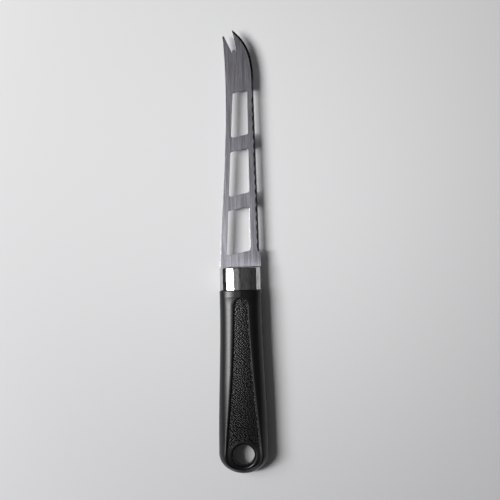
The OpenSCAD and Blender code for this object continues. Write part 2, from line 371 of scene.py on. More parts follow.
@dataclass(frozen=True)
class BrushedStainless:
    """Stainless knife steel, blanked from sheet and brushed lengthwise on a belt.

    The belt's fine lines run from heel to tip, so light spreads across them: the flats
    look satin grey, with faint streaks, and never show a sharp reflection.
    """

    colour: str = "#C0BEC6"
    streak_colour: str = "#98969F"
    # Where a line's strength turns from one colour to the other
    streak_span: tuple[float, float] = (0.38, 0.62)
    least_roughness: float = 0.225
    most_roughness: float = 0.275
    anisotropy: float = 0.75
    # The belt's finest lines are about 0.1 mm apart; these are the wider ones that show
    line_pitch: float = 0.55
    line_length: float = 18.0
    line_detail: float = 3.0
    line_contrast: float = 0.65
    line_depth: float = 0.016
    # Stamping leaves the sheet crowned, most of all towards the edge, and hollow at the heel
    crown_depth: float = 0.11
    crown_half_width: float = 11.0
    crown_offset: float = 0.6
    crown_start: float = 0.5
    crown_full: float = 11.0
    heel_share: float = -0.7

    def make(self, seat: Seat) -> bpy.types.Material:
        """Builds the material.

        Args:
            seat: The drawing's place in the frame, because the crown follows the blade.

        Returns:
            The material.
        """
        material, tree = new_material("brushed_stainless_blade")
        lines = add_node(
            tree,
            "ShaderNodeTexNoise",
            {
                "Vector": stretched(tree, (self.line_pitch, self.line_length, self.line_length)),
                "Scale": 1.0,
                "Detail": self.line_detail,
                "Roughness": self.line_contrast,
            },
        )
        widths = stretched(tree, (self.crown_half_width, 1.0, 1.0))
        place = add_node(tree, "ShaderNodeSeparateXYZ", {"Vector": widths})
        offset = {0: place.outputs["X"], 1: self.crown_offset}
        aside = add_node(tree, "ShaderNodeMath", offset, operation="ADD").outputs["Value"]
        across = add_node(tree, "ShaderNodeMath", {0: aside, 1: aside}, operation="MULTIPLY")
        heel = seat.y / MM
        along = add_node(
            tree,
            "ShaderNodeMapRange",
            {
                "Value": place.outputs["Y"],
                "From Min": heel + self.crown_start,
                "From Max": heel + self.crown_full,
                "To Min": self.heel_share,
            },
            interpolation_type="SMOOTHSTEP",
        )
        bow = {0: across.outputs["Value"], 1: along.outputs["Result"]}
        height = add_node(tree, "ShaderNodeMath", bow, operation="MULTIPLY")
        crown = add_node(
            tree,
            "ShaderNodeBump",
            {"Height": height.outputs["Value"], "Distance": self.crown_depth * MM},
            invert=True,
        )
        bump = add_node(
            tree,
            "ShaderNodeBump",
            {
                "Height": lines.outputs["Fac"],
                "Distance": self.line_depth * MM,
                "Normal": crown.outputs["Normal"],
            },
        )
        rough = add_node(
            tree,
            "ShaderNodeMapRange",
            {
                "Value": lines.outputs["Fac"],
                "To Min": self.least_roughness,
                "To Max": self.most_roughness,
            },
        )
        colour = blended(tree, lines.outputs["Fac"], self.streak_colour, self.colour, self.streak_span)
        lengthwise = add_node(tree, "ShaderNodeTangent", direction_type="RADIAL", axis="Y")
        finish_shader(
            tree,
            Base_Color=colour,
            Metallic=1.0,
            Roughness=rough.outputs["Result"],
            Anisotropic=self.anisotropy,
            Normal=bump.outputs["Normal"],
            Tangent=lengthwise.outputs["Tangent"],
        )
        return material


@dataclass(frozen=True)
class GroundSteel:
    """The same steel where the wheel has ground the cutting edge.

    The wheel leaves it smoother than the brushed flats, so the narrow bevel mirrors the dim
    room low beside the knife and reads as a thin dark line. Its colour is painted darker than
    the steel's own, painted shade that deepens that dark reflection.
    """

    # Painted shade: far darker than the steel itself
    colour: str = "#3C3B40"
    least_roughness: float = 0.08
    most_roughness: float = 0.18
    # The wheel's marks run across the bevel; they are drawn this coarse so that they show
    mark_pitch: float = 0.15
    mark_length: float = 2.0

    def make(self) -> bpy.types.Material:
        """Builds the material.

        Returns:
            The material.
        """
        material, tree = new_material("ground_edge_painted_dark")
        marks = add_node(
            tree,
            "ShaderNodeTexNoise",
            {
                "Vector": stretched(tree, (self.mark_length, self.mark_pitch, self.mark_length)),
                "Scale": 1.0,
            },
        )
        rough = add_node(
            tree,
            "ShaderNodeMapRange",
            {
                "Value": marks.outputs["Fac"],
                "To Min": self.least_roughness,
                "To Max": self.most_roughness,
            },
        )
        finish_shader(
            tree,
            Base_Color=linear(self.colour),
            Metallic=1.0,
            Roughness=rough.outputs["Result"],
        )
        return material


@dataclass(frozen=True)
class ShearedSteel:
    """The same steel where the punch has torn through the sheet.

    The torn faces are coarse and see little light, and their colour is painted dark as well,
    painted shade that makes the windows' ends read as dark lines.
    """

    # Painted shade: darker than the steel itself
    colour: str = "#4A494D"
    roughness: float = 0.5

    def make(self) -> bpy.types.Material:
        """Builds the material.

        Returns:
            The material.
        """
        material, tree = new_material("sheared_face_painted_shade")
        finish_shader(tree, Base_Color=linear(self.colour), Metallic=1.0, Roughness=self.roughness)
        return material


@dataclass(frozen=True)
class PolishedStainless:
    """Stainless tube, drawn and buffed.

    It mirrors its surroundings in sharp lengthwise bands, with a few faint drawing lines.
    """

    colour: str = "#DCDCDD"
    line_colour: str = "#B4B4B6"
    # Where a line's strength turns from one colour to the other
    line_span: tuple[float, float] = (0.38, 0.62)
    least_roughness: float = 0.02
    most_roughness: float = 0.12
    line_pitch: float = 0.5
    line_length: float = 4.0
    line_depth: float = 0.018

    def make(self) -> bpy.types.Material:
        """Builds the material.

        Returns:
            The material.
        """
        material, tree = new_material("polished_stainless_ferrule")
        lines = add_node(
            tree,
            "ShaderNodeTexNoise",
            {
                "Vector": stretched(tree, (self.line_pitch, self.line_length, self.line_pitch)),
                "Scale": 1.0,
            },
        )
        bump = add_node(
            tree,
            "ShaderNodeBump",
            {"Height": lines.outputs["Fac"], "Distance": self.line_depth * MM},
        )
        rough = add_node(
            tree,
            "ShaderNodeMapRange",
            {
                "Value": lines.outputs["Fac"],
                "To Min": self.least_roughness,
                "To Max": self.most_roughness,
            },
        )
        finish_shader(
            tree,
            Base_Color=blended(tree, lines.outputs["Fac"], self.line_colour, self.colour, self.line_span),
            Metallic=1.0,
            Roughness=rough.outputs["Result"],
            Normal=bump.outputs["Normal"],
        )
        return material


@dataclass(frozen=True)
class MouldedPlastic:
    """Black polypropylene, injection moulded in a polished tool with a spark-eroded panel.

    The polished walls give a soft, wide gloss. The panel's pebbled grain breaks it into
    small specks, with painted highlight on the pebbles' tops and painted shade in the valleys
    between them, set by the strength of their gloss.
    """

    colour: str = "#0C0C0E"
    ior: float = 1.5
    gloss_roughness: float = 0.35
    pebble_roughness: float = 0.28
    valley_roughness: float = 0.36
    gloss_level: float = 0.5
    # Painted highlight and shade: the pebbles' tops get more gloss and the valleys, which lie this share
    # of a pitch from a pebble's top, less
    pebble_top_painted_gloss: float = 0.66
    valley_share: float = 0.58
    # Painted light: the panel's front faces the lamps, so its valleys keep some gloss there, and none
    # towards the butt
    front_valley_painted_light: float = 0.3
    rear_valley_painted_light: float = 0.0
    # The pebbles are a little longer along one diagonal, and drawn this coarse so that they show
    grain_pitches: tuple[float, float, float] = (1.09, 0.87, 1.0)
    grain_turn_deg: float = 45.0
    grain_depth: float = 0.3
    pebble_softness: float = 0.2
    pebble_disorder: float = 0.6
    ripple_pitch: float = 3.0
    ripple_depth: float = 0.004

    def make(self) -> bpy.types.Material:
        """Builds the material.

        Returns:
            The material.
        """
        material, tree = new_material("moulded_black_plastic")
        mask = add_node(tree, "ShaderNodeAttribute", attribute_name=Handle.GRAIN).outputs["Fac"]
        pebbles = add_node(
            tree,
            "ShaderNodeTexVoronoi",
            {
                "Vector": stretched(tree, self.grain_pitches, self.grain_turn_deg),
                "Scale": 1.0,
                "Smoothness": self.pebble_softness,
                "Randomness": self.pebble_disorder,
            },
            feature="SMOOTH_F1",
            voronoi_dimensions="2D",
        ).outputs["Distance"]
        ripple = add_node(
            tree,
            "ShaderNodeTexNoise",
            {"Vector": stretched(tree, (self.ripple_pitch,) * 3), "Scale": 1.0},
        )
        soft = add_node(
            tree,
            "ShaderNodeBump",
            {"Height": ripple.outputs["Fac"], "Distance": self.ripple_depth * MM},
        )
        height = add_node(tree, "ShaderNodeMath", {0: pebbles, 1: mask}, operation="MULTIPLY")
        grain = add_node(
            tree,
            "ShaderNodeBump",
            {
                "Height": height.outputs["Value"],
                "Distance": self.grain_depth * MM,
                "Normal": soft.outputs["Normal"],
            },
            invert=True,
        )
        grained = add_node(
            tree,
            "ShaderNodeMapRange",
            {"Value": pebbles, "To Min": self.pebble_roughness, "To Max": self.valley_roughness},
        )
        # Painted light in the valleys, fading from the panel's front towards the butt
        valley = add_node(
            tree,
            "ShaderNodeMapRange",
            {
                "Value": mask,
                "From Min": Handle.grain_and_painted_light_rear_share,
                "To Min": self.rear_valley_painted_light,
                "To Max": self.front_valley_painted_light,
            },
        )
        # Painted highlight on the pebbles' tops and painted shade in the valleys, as gloss strength
        painted_pebble_shade = add_node(
            tree,
            "ShaderNodeMapRange",
            {
                "Value": pebbles,
                "From Max": self.valley_share,
                "To Min": self.pebble_top_painted_gloss,
                "To Max": valley.outputs["Result"],
            },
        )
        # The grain's finish is full wherever there is grain at all, also where it is shallow
        whole = {"Value": mask, "From Max": Handle.grain_and_painted_light_rear_share}
        share = add_node(tree, "ShaderNodeMapRange", whole).outputs["Result"]
        rough, level = (
            add_node(tree, "ShaderNodeMix", {"Factor": share, "A": gloss, "B": made.outputs["Result"]})
            for gloss, made in ((self.gloss_roughness, grained), (self.gloss_level, painted_pebble_shade))
        )
        finish_shader(
            tree,
            Base_Color=linear(self.colour),
            Roughness=rough.outputs["Result"],
            Specular_IOR_Level=level.outputs["Result"],
            IOR=self.ior,
            Normal=grain.outputs["Normal"],
        )
        return material


# The knife's pieces


@dataclass
class Blade:
    """The stamped blade with its tang: one piece of sheet.

    It is ground and scalloped on the upper side.
    """

    length: float = 128.4
    sheet: float = 1.2
    spine_reach: float = 10.75
    heel_reach: float = 11.3
    heel_length: float = 7.5
    heel_step: float = 0.7
    heel_gap: float = 0.1
    fork_root_r: float = 1.2
    window_count: int = 3
    window_length: float = 23.9
    window_pitch: float = 31.45
    window_start: float = 8.8
    window_reach: float = 5.8
    window_spine_reach: float = 7.4
    window_lean_deg: float = 3.3
    window_slant_deg: float = 12.0
    window_round: float = 1.0
    bevel_width: float = 0.8
    belly_bevel_width: float = 1.15
    edge_thickness: float = 0.2
    scallop_pitch: float = 4.9
    scallop_depth: float = 0.08
    scallop_rise: float = 0.5
    scallop_end_share: float = 0.725
    tang_length: float = 76.0
    tang_width: float = 12.0
    tang_end_width: float = 8.0
    tang_full_share: float = 0.3
    key_hole_d: float = 4.0
    key_hole_shares: tuple[float, float] = (0.3, 0.58)
    # The punch leaves its corners slightly rolled
    punched_round: float = 0.05
    punched_turns_deg: tuple[int, ...] = (0, 45, 90)
    overrun: float = 1.0
    # A face whose normal's z is less than this was sheared by the punch, and gets the sheared steel's
    # painted shade
    sheared_limit: float = 0.5
    crease_deg: float = 20.0
    # How finely curves, arcs, the outline, the flats and the ground edge are drawn
    curve_points: int = 60
    fork_points: int = 17
    tang_points: int = 17
    corner_points: int = 9
    hole_points: int = 32
    edge_step: float = 0.5
    outline_step: float = 1.6
    flat_step: float = 2.5
    flat_clearance: float = 0.9
    grinding_step: float = 0.25

    # Corners of the outline's curves, as shares of spine_reach and length
    SPINE = ((-1, 0), (-0.811, 0.315), (-0.323, 0.652), (-0.64, 0.971))
    BELLY = ((0.865, 0.74), (0.945, 0.9), (0.54, 0.952), (-0.156, 1))
    FORK_ROOT = (-0.066, 0.9055)
    FORK_LEFT = (-0.572, 0.974)
    FORK_RIGHT = (-0.155, 1.002)

    def on_blade(self, shares: tuple) -> np.ndarray:
        """Turns shares of the blade into places."""
        return np.array(shares, float) * (self.spine_reach, self.length)

    def edge_start(self) -> np.ndarray:
        """Where the ground edge starts, past the sloping step at the heel."""
        return np.array([self.heel_reach - self.heel_step, self.heel_length + 2 * self.heel_step])

    def edge_run(self, step: float) -> np.ndarray:
        """Points along the unscalloped edge from heel to tip, a step apart.

        Args:
            step: The largest distance between neighbours.

        Returns:
            The points.
        """
        belly = bezier(self.on_blade(self.BELLY), self.curve_points)
        corners = np.vstack([self.edge_start(), belly])
        far = np.concatenate([[0], np.cumsum(np.linalg.norm(np.diff(corners, axis=0), axis=1))])
        places = np.linspace(0, far[-1], math.ceil(far[-1] / step) + 1)
        return np.stack([np.interp(places, far, corners[:, k]) for k in (0, 1)], axis=1)

    @staticmethod
    def touch(centre: np.ndarray, r: float, place: np.ndarray, side: int) -> float:
        """Angle at which a line from a place touches a circle, on one side of it."""
        away = place - centre
        return math.atan2(away[1], away[0]) + side * math.acos(r / np.linalg.norm(away))

    def fork(self) -> np.ndarray:
        """The fork's inner edges from the right prong round the root to the left prong.

        Returns:
            The inner edges' points.
        """
        root, left, right = (self.on_blade(s) for s in (self.FORK_ROOT, self.FORK_LEFT, self.FORK_RIGHT))
        last = self.touch(root, self.fork_root_r, left, 1)
        first = self.touch(root, self.fork_root_r, right, -1) - 2 * math.pi
        if first <= last:
            first += 2 * math.pi
        angles = np.linspace(first, last, self.fork_points)
        arc = root + self.fork_root_r * np.stack([np.cos(angles), np.sin(angles)], axis=1)
        spine_end, tip = self.on_blade(self.SPINE[-1]), self.on_blade(self.BELLY[-1])
        across, along = tip - spine_end, left - arc[-1]
        t = np.linalg.solve(np.stack([along, -across], axis=1), spine_end - arc[-1])[0]
        return np.vstack([arc, arc[-1] + along * t])

    def tang(self) -> np.ndarray:
        """The tang from its left shoulder round its end to its right shoulder.

        Returns:
            The tang's points.
        """
        full, half = -self.tang_length * self.tang_full_share, self.tang_width / 2
        end = self.tang_end_width / 2
        angles = np.linspace(-math.pi, 0, self.tang_points)
        arc = np.stack([end * np.cos(angles), end - self.tang_length + end * np.sin(angles)], axis=1)
        return np.vstack([[-half, self.heel_gap], [-half, full], arc, [half, full], [half, self.heel_gap]])

    def outline(self) -> np.ndarray:
        """The blank's outline, anticlockwise, before the edge is ground.

        Returns:
            The outline's points.
        """
        spine = bezier(self.on_blade(self.SPINE), self.curve_points)[::-1]
        heel = [[self.heel_reach, self.heel_gap], [self.heel_reach, self.heel_length]]
        spine[-1] = (-self.spine_reach, self.heel_gap)
        return np.vstack([self.tang(), heel, self.edge_run(self.edge_step), self.fork(), spine])

    def window(self, number: int) -> np.ndarray:
        """A window's outline, clockwise, with rounded corners.

        Args:
            number: The window's number, counted from the heel.

        Returns:
            The outline's points.
        """
        lean = math.tan(math.radians(self.window_lean_deg))
        slope = math.tan(math.radians(self.window_slant_deg))

        def meet(y: float) -> tuple[float, float]:
            """Where a slanting end meets the line of the windows' spine sides."""
            y = (y - slope * (self.window_reach + self.window_spine_reach)) / (1 - slope * lean)
            return y * lean - self.window_spine_reach, y

        low = self.window_start + number * self.window_pitch
        high = low + self.window_length
        corners = np.array([meet(low), meet(high), (self.window_reach, high), (self.window_reach, low)])
        made = []
        for a, b, c in zip(np.roll(corners, 1, axis=0), corners, np.roll(corners, -1, axis=0)):
            u, w = (a - b) / np.linalg.norm(a - b), (c - b) / np.linalg.norm(c - b)
            half = math.acos(u @ w) / 2
            centre = b + (u + w) / np.linalg.norm(u + w) * self.window_round / math.sin(half)
            start, end = (b + v * self.window_round / math.tan(half) - centre for v in (u, w))
            first, turn = math.atan2(start[1], start[0]), math.pi - 2 * half
            angles = first - np.linspace(0, turn, self.corner_points)
            ray = np.stack([np.cos(angles), np.sin(angles)], axis=1)
            made.append(centre + self.window_round * ray)
        return np.vstack(made)

    def key_hole(self, share: float) -> np.ndarray:
        """A hole in the tang, clockwise, that the handle's plastic fills.

        Args:
            share: The hole's place, as a share of the tang's length.

        Returns:
            The hole's points.
        """
        angles = -np.linspace(0, 2 * math.pi, self.hole_points, endpoint=False)
        ray = np.stack([np.cos(angles), np.sin(angles)], axis=1)
        return self.key_hole_d / 2 * ray - (0, self.tang_length * share)

    def blank(self) -> Shell:
        """The blank with its holes, its punched corners slightly rolled.

        Returns:
            The blank.
        """
        half, r = self.sheet / 2, self.punched_round
        loops = [filled(self.outline(), self.outline_step)]
        loops += [filled(self.window(i), self.outline_step) for i in range(self.window_count)]
        loops += [self.key_hole(share) for share in self.key_hole_shares]
        shell = Shell([], [])
        turns = [math.radians(turn) for turn in self.punched_turns_deg]
        profile = [(r * (1 - math.cos(a)), half - r + r * math.sin(a)) for a in turns]
        rims = {Side.UPPER: [], Side.LOWER: []}
        for loop in loops:
            rows = []
            for side in (Side.LOWER, Side.UPPER):
                steps = profile if side is Side.UPPER else profile[::-1]
                for drawn_in, z in steps:
                    flat = inset(loop, drawn_in)
                    height = np.full((len(flat), 1), z * side.value)
                    rows.append(shell.ring(np.hstack([flat, height])))
            for first, second in zip(rows, rows[1:]):
                shell.band(first, second)
            rims[Side.LOWER].append(rows[0])
            rims[Side.UPPER].append(rows[-1])
        self.fill(shell, [inset(loop, r) for loop in loops], rims)
        return shell

    def fill(self, shell: Shell, loops: list[np.ndarray], rims: dict[Side, list[list[int]]]) -> None:
        """Fills both flats between the outline and the holes.

        Args:
            shell: The blank so far.
            loops: The flats' outlines: the blank's first, and then its holes'.
            rims: The numbers of those outlines' points, for each side.
        """
        ys = np.arange(self.flat_step / 2, self.length, self.flat_step)
        xs = np.arange(-self.spine_reach, self.heel_reach, self.flat_step)
        grid = np.array([(x, y) for y in ys for x in xs])
        keep = inside(grid, loops[0])
        for hole in loops[1:]:
            keep &= ~inside(grid, hole)
        rim_points = np.vstack(loops)
        far = np.min(np.linalg.norm(grid[:, None] - rim_points[None], axis=2), axis=1)
        grid = grid[keep & (far >= self.flat_clearance)]
        edges, first = [], 0
        for loop in loops:
            count = len(loop)
            edges += [(first + i, first + (i + 1) % count) for i in range(count)]
            first += count
        places = [Vector(p) for p in np.vstack([rim_points, grid])]
        found, _, faces, origin, _, _ = delaunay_2d_cdt(places, edges, [], 0, TINY)
        found = np.array([tuple(p) for p in found])
        middles = np.array([found[list(f)].mean(axis=0) for f in faces])
        solid = inside(middles, loops[0])
        for hole in loops[1:]:
            solid &= ~inside(middles, hole)
        for side in Side:
            numbers = [n for rim in rims[side] for n in rim]
            height = np.full((len(grid), 1), self.sheet / 2 * side.value)
            numbers += shell.ring(np.hstack([grid, height]))
            for face, within in zip(faces, solid):
                if within:
                    corners = [numbers[origin[v][0]] for v in face]
                    shell.faces.append(tuple(corners if side is Side.UPPER else corners[::-1]))

    def flute(self, y: np.ndarray) -> np.ndarray:
        """How much of a scallop's full depth is reached, at places along the edge.

        Args:
            y: The places, as distances from the ferrule.

        Returns:
            A share from 0 to 1 for each place.
        """
        first = self.edge_start()[1]
        phase = (y - first) / self.scallop_pitch
        across = (phase - np.floor(phase) - 0.5) * 2
        count = round((self.length * self.scallop_end_share - first) / self.scallop_pitch)
        return np.where(phase < count, 1 - across**2, 0.0)

    def grinding(self, run: np.ndarray, before: float) -> Shell:
        """What the wheel takes off the upper side: a wedge along an edge, steeper in each scallop.

        Args:
            run: Places along the edge, the blade on their left.
            before: How far the wheel starts before the first of them.

        Returns:
            The wedge.
        """
        half = self.sheet / 2
        way = np.gradient(run, axis=0)
        way /= np.linalg.norm(way, axis=1)[:, None]
        out = np.stack([way[:, 1], -way[:, 0]], axis=1)
        run[0] -= way[0] * before
        run[-1] += way[-1] * self.overrun
        flute = self.flute(run[:, 1])
        # The cut passes the top of the bevel and the point where it leaves the sheet
        belly = smooth_step((run[:, 1] - self.length * self.scallop_end_share) / self.scallop_pitch)
        widening = (self.belly_bevel_width - self.bevel_width) * belly
        reach = self.bevel_width + widening + flute * self.scallop_rise
        foot = self.edge_thickness * (1 - flute) - half
        slope = (half - foot) / (reach - flute * self.scallop_depth)
        shell = Shell([], [])
        rows = []
        for k in range(len(run)):
            far, near = self.overrun, -reach[k] - self.overrun
            top = half + self.overrun * slope[k]
            places = [(far, top), (far, half - (reach[k] + far) * slope[k]), (near, top)]
            rows.append(shell.ring([(*(run[k] + d * out[k]), z) for d, z in places]))
        for first, second in zip(rows, rows[1:]):
            shell.band(first, second)
        shell.faces.append(tuple(rows[0][::-1]))
        shell.faces.append(tuple(rows[-1]))
        return shell

    def build(self, seat: Seat) -> bpy.types.Object:
        """Makes the blade and dresses it.

        Args:
            seat: The drawing's place in the frame.

        Returns:
            The blade.
        """
        piece = self.blank().piece("ground_blade", seat, self.crease_deg)
        piece.data.materials.append(BrushedStainless().make(seat))
        piece.data.materials.append(ShearedSteel().make())
        for face in piece.data.polygons:
            face.material_index = int(abs(face.normal.z) < self.sheared_limit)
        prong = self.on_blade((self.FORK_LEFT, self.SPINE[-1]))
        ground = GroundSteel().make()
        for run, before in ((self.edge_run(self.grinding_step), self.heel_step), (prong, self.overrun)):
            wheel = self.grinding(run, before).piece("wheel", seat, self.crease_deg)
            wheel.data.materials.append(ground)
            cut(piece, wheel)
        shade(piece, self.crease_deg)
        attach(piece, BODY)
        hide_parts("blade")
        return piece


@dataclass
class Ferrule:
    """The drawn oval sleeve, its front edge turned in and slotted for the tang."""

    length: float = 12.4
    width: float = 22.1
    thickness: float = 13.2
    wall: float = 0.5
    front_round: float = 0.9
    rear_round: float = 0.12
    slot_width: float = 12.2
    slot_height: float = 1.4
    # Roundness of the slot's corners, from 0 for square to 1 for an oval
    slot_corner_share: float = 0.2
    sides: int = 192
    front_rings: int = 9
    # A ring this close behind the rounded front keeps its shading off the straight wall
    front_margin: float = 0.01
    crease_deg: float = 35.0

    def oval(self, shrink: float, y: float) -> np.ndarray:
        """One ring of the sleeve, seen from the tip anticlockwise.

        Args:
            shrink: How far the ring lies inside the sleeve's outside.
            y: The ring's place along the knife.

        Returns:
            The ring's points.
        """
        angles = np.linspace(0, 2 * math.pi, self.sides, endpoint=False)
        x = (self.width / 2 - shrink) * np.cos(angles)
        z = (self.thickness / 2 - shrink) * np.sin(angles)
        return np.stack([x, np.full(self.sides, y), z], axis=1)

    def slot(self, y: float) -> np.ndarray:
        """One ring of the slot for the tang, with rounded corners.

        Args:
            y: The ring's place along the knife.

        Returns:
            The ring's points.
        """
        angles = np.linspace(0, 2 * math.pi, self.sides, endpoint=False)
        c, s = np.cos(angles), np.sin(angles)
        x = self.slot_width / 2 * np.sign(c) * np.abs(c) ** self.slot_corner_share
        z = self.slot_height / 2 * np.sign(s) * np.abs(s) ** self.slot_corner_share
        return np.stack([x, np.full(self.sides, y), z], axis=1)

    def build(self, seat: Seat) -> bpy.types.Object:
        """Makes the ferrule and dresses it.

        Args:
            seat: The drawing's place in the frame.

        Returns:
            The ferrule.
        """
        shell = Shell([], [])
        turns = np.linspace(0, math.pi / 2, self.front_rings)
        rows = [self.oval(self.rear_round, -self.length), self.oval(0, -self.length + self.rear_round)]
        rows += [self.oval(0, y) for y in (-self.length / 2, -self.front_round - self.front_margin)]
        rows += [
            self.oval(self.front_round * (1 - math.cos(a)), -self.front_round * (1 - math.sin(a)))
            for a in turns[1:]
        ]
        rows += [self.slot(0), self.slot(-self.wall)]
        rows += [self.oval(self.front_round, -self.wall), self.oval(self.wall, -self.front_round)]
        rows += [self.oval(self.wall, -self.length)]
        rings = [shell.ring(row) for row in rows]
        for first, second in zip(rings, rings[1:] + rings[:1]):
            shell.band(second, first)
        piece = shell.piece("polished_ferrule", seat, self.crease_deg)
        piece.data.materials.append(PolishedStainless().make())
        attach(piece, BODY)
        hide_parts("ferrule")
        return piece


@dataclass
class Handle:
    """The moulded grip with a sunk, grained panel on both broad sides and a hanging hole."""

    start: float = -12.65
    length: float = 98.95
    front_width: float = 22.7
    rear_width: float = 26.8
    widen_start: float = 8.0
    thickness: float = 13.8
    rear_thickness: float = 11.8
    level_length: float = 45.0
    butt_length: float = 11.0
    butt_roll: float = 12.0
    front_power: float = 2.4
    rear_power: float = 2.0
    spread_power: float = 1.8
    front_round: float = 0.35
    panel_start: float = 3.6
    panel_end_gap: float = 2.0
    arch_length: float = 5.0
    panel_front_width: float = 7.5
    panel_rear_width: float = 20.6
    panel_depth: float = 0.45
    panel_crown: float = 0.2
    wall_run: float = 0.4
    land: float = 1.55
    rear_land: float = 0.85
    # The land leans out a little where it starts, and has turned level where it has narrowed
    land_lean_deg: float = 5.0
    # Half width that stands for no panel, before its start and after its end
    panel_nothing: float = 0.21
    panel_limit_share: float = 0.82
    blend_power: float = 8.0
    hole_d: float = 11.5
    hole_back: float = 10.2
    rim_width: float = 1.4
    rim_depth: float = 2.2
    # The grain stops on a line across the panel and on a circle round the hole
    grain_end_back: float = 14.3
    grain_clear_r: float = 7.6
    grain_fade: float = 0.8
    # At the panel's sides the grain fades over this width, and reaches past the floor's edge
    grain_side_fade: float = 0.4
    grain_side_share: float = 0.6
    grain_start_fade: float = 0.5
    # The grain is shallower towards the butt, and by the same share the valleys' painted light fades out
    # there
    grain_and_painted_light_rear_share: float = 0.74
    spigot_width: float = 20.9
    spigot_thickness: float = 12.0
    spigot_front: float = -0.6
    spigot_chamfer: float = 0.9
    crease_deg: float = 50.0
    # Columns of points on one quarter of a section
    shoulder_columns: int = 18
    land_columns: int = 2
    wall_columns: int = 7
    floor_columns: int = 12
    # Sections along the front, the arch, the middle, the hole, the panel's rear and the butt
    front_sections: int = 8
    arch_sections: int = 22
    middle_sections: int = 108
    hole_sections: int = 17
    rear_sections: int = 28
    butt_sections: int = 14
    last_butt_deg: float = 88.5
    # The patch round the hole: where it starts, and how far it goes past the rim
    patch_start_share: float = 0.78
    patch_front_share: float = 1.22
    patch_rear_share: float = 1.075
    patch_margin: int = 2
    patch_rings: int = 5
    front_turns_deg: tuple[int, ...] = (90, 67, 45, 22)
    rim_first_deg: float = 10.0
    rim_rings: int = 9

    GRAIN = "grain"

    @property
    def butt_start(self) -> float:
        """Distance from the handle's front to the start of the round butt."""
        return self.length - self.butt_length

    @property
    def panel_end(self) -> float:
        """Distance from the handle's front to the end of the panel."""
        return self.length - self.panel_end_gap

    def half(self, s: float) -> float:
        """Half width of the handle at a distance from its front.

        Args:
            s: The distance.

        Returns:
            The half width.
        """
        grow = smooth_step((s - self.widen_start) / (self.butt_start - self.widen_start))
        side = (self.front_width + (self.rear_width - self.front_width) * grow) / 2
        past = np.clip((s - self.butt_start) / self.butt_length, 0, 1)
        return side * math.sqrt(1 - past * past)

    def changed(self, s: float) -> float:
        """How far the handle has changed from its front part to its rear, from 0 to 1."""
        return smooth_step((s - self.level_length) / (self.butt_start - self.level_length))

    def rise(self, s: float) -> float:
        """Half thickness of the handle at the panel's border.

        Args:
            s: Distance from the handle's front.

        Returns:
            The half thickness.
        """
        past = np.clip((s - self.length + self.butt_roll) / self.butt_roll, 0, 1)
        full = self.thickness + (self.rear_thickness - self.thickness) * self.changed(s)
        return full / 2 * math.sqrt(1 - past * past)

    def power(self, s: float) -> float:
        """Roundness of the section: 2 is an oval, more is squarer."""
        return self.front_power + (self.rear_power - self.front_power) * self.changed(s)

    def panel_half(self, s: float, drawn_in: float) -> float:
        """Half width of the panel, drawn in all round.

        Args:
            s: Distance from the handle's front.
            drawn_in: How far the panel's outline is drawn in.

        Returns:
            The half width.
        """
        first, last = self.panel_start + drawn_in, self.panel_end - drawn_in
        growth = (s / self.butt_start) ** self.spread_power
        spread = (self.panel_rear_width - self.panel_front_width) * growth
        sides = (self.panel_front_width + spread) / 2
        arch = np.clip((first + self.arch_length - s) / self.arch_length, 0, 1)
        rear_length = self.panel_end - self.butt_start
        past = np.clip((s - last + rear_length) / rear_length, 0, 1)
        rear = self.panel_rear_width / 2 * math.sqrt(1 - past * past)
        if rear <= 0:
            return self.panel_nothing
        power = -self.blend_power
        both = ((sides - drawn_in) ** power + rear**power) ** (1 / power)
        return max(self.panel_nothing, both * math.sqrt(1 - arch * arch))

    def sunk(self, s: float) -> float:
        """How much of the panel's depth is reached on the axis."""
        return float(smooth_step(min(s - self.panel_start, self.panel_end - s) / self.wall_run))

    def crown(self, s: float) -> float:
        """Height of the panel's crown, which flattens where the panel is narrow."""
        wide = self.panel_half(s, self.wall_run) / self.panel_front_width * 2
        return self.panel_crown * self.sunk(s) * float(smooth_step(wide))

    def quarter(self, s: float) -> list[tuple[float, float]]:
        """One quarter of a section, from the side to the axis, as x and z.

        Args:
            s: Distance from the handle's front.

        Returns:
            The quarter's points.
        """
        half, rise, power = self.half(s), self.rise(s), self.power(s)
        border = min(self.panel_half(s, 0), half * self.panel_limit_share)
        floor = min(self.panel_half(s, self.wall_run), border - min(self.wall_run, border) / 2)
        narrowed = smooth_step(2 * s / self.level_length - 1)
        outer = border + min(self.land + (self.rear_land - self.land) * narrowed, (half - border) / 2)
        drop = (outer - border) * math.tan(math.radians(self.land_lean_deg)) * (1 - narrowed)
        turn = math.acos((outer / half) ** (power / 2))
        depth, crown = self.panel_depth * self.sunk(s), self.crown(s)
        points = []
        for i in range(self.shoulder_columns + 1):
            angle = turn * i / self.shoulder_columns
            z = (rise - drop) * (math.sin(angle) / math.sin(turn)) ** (2 / power)
            points.append((half * math.cos(angle) ** (2 / power), z))
        for i in range(1, self.land_columns + 1):
            t = i / self.land_columns
            points.append((outer + (border - outer) * t, rise - drop * (1 - t)))
        for i in range(1, self.wall_columns + 1):
            t = i / self.wall_columns
            points.append((border + (floor - border) * t, rise - depth * smooth_step(t)))
        for i in range(1, self.floor_columns + 1):
            t = i / self.floor_columns
            points.append((floor * (1 - t), rise - depth + crown * (1 - (1 - t) ** 2)))
        return points

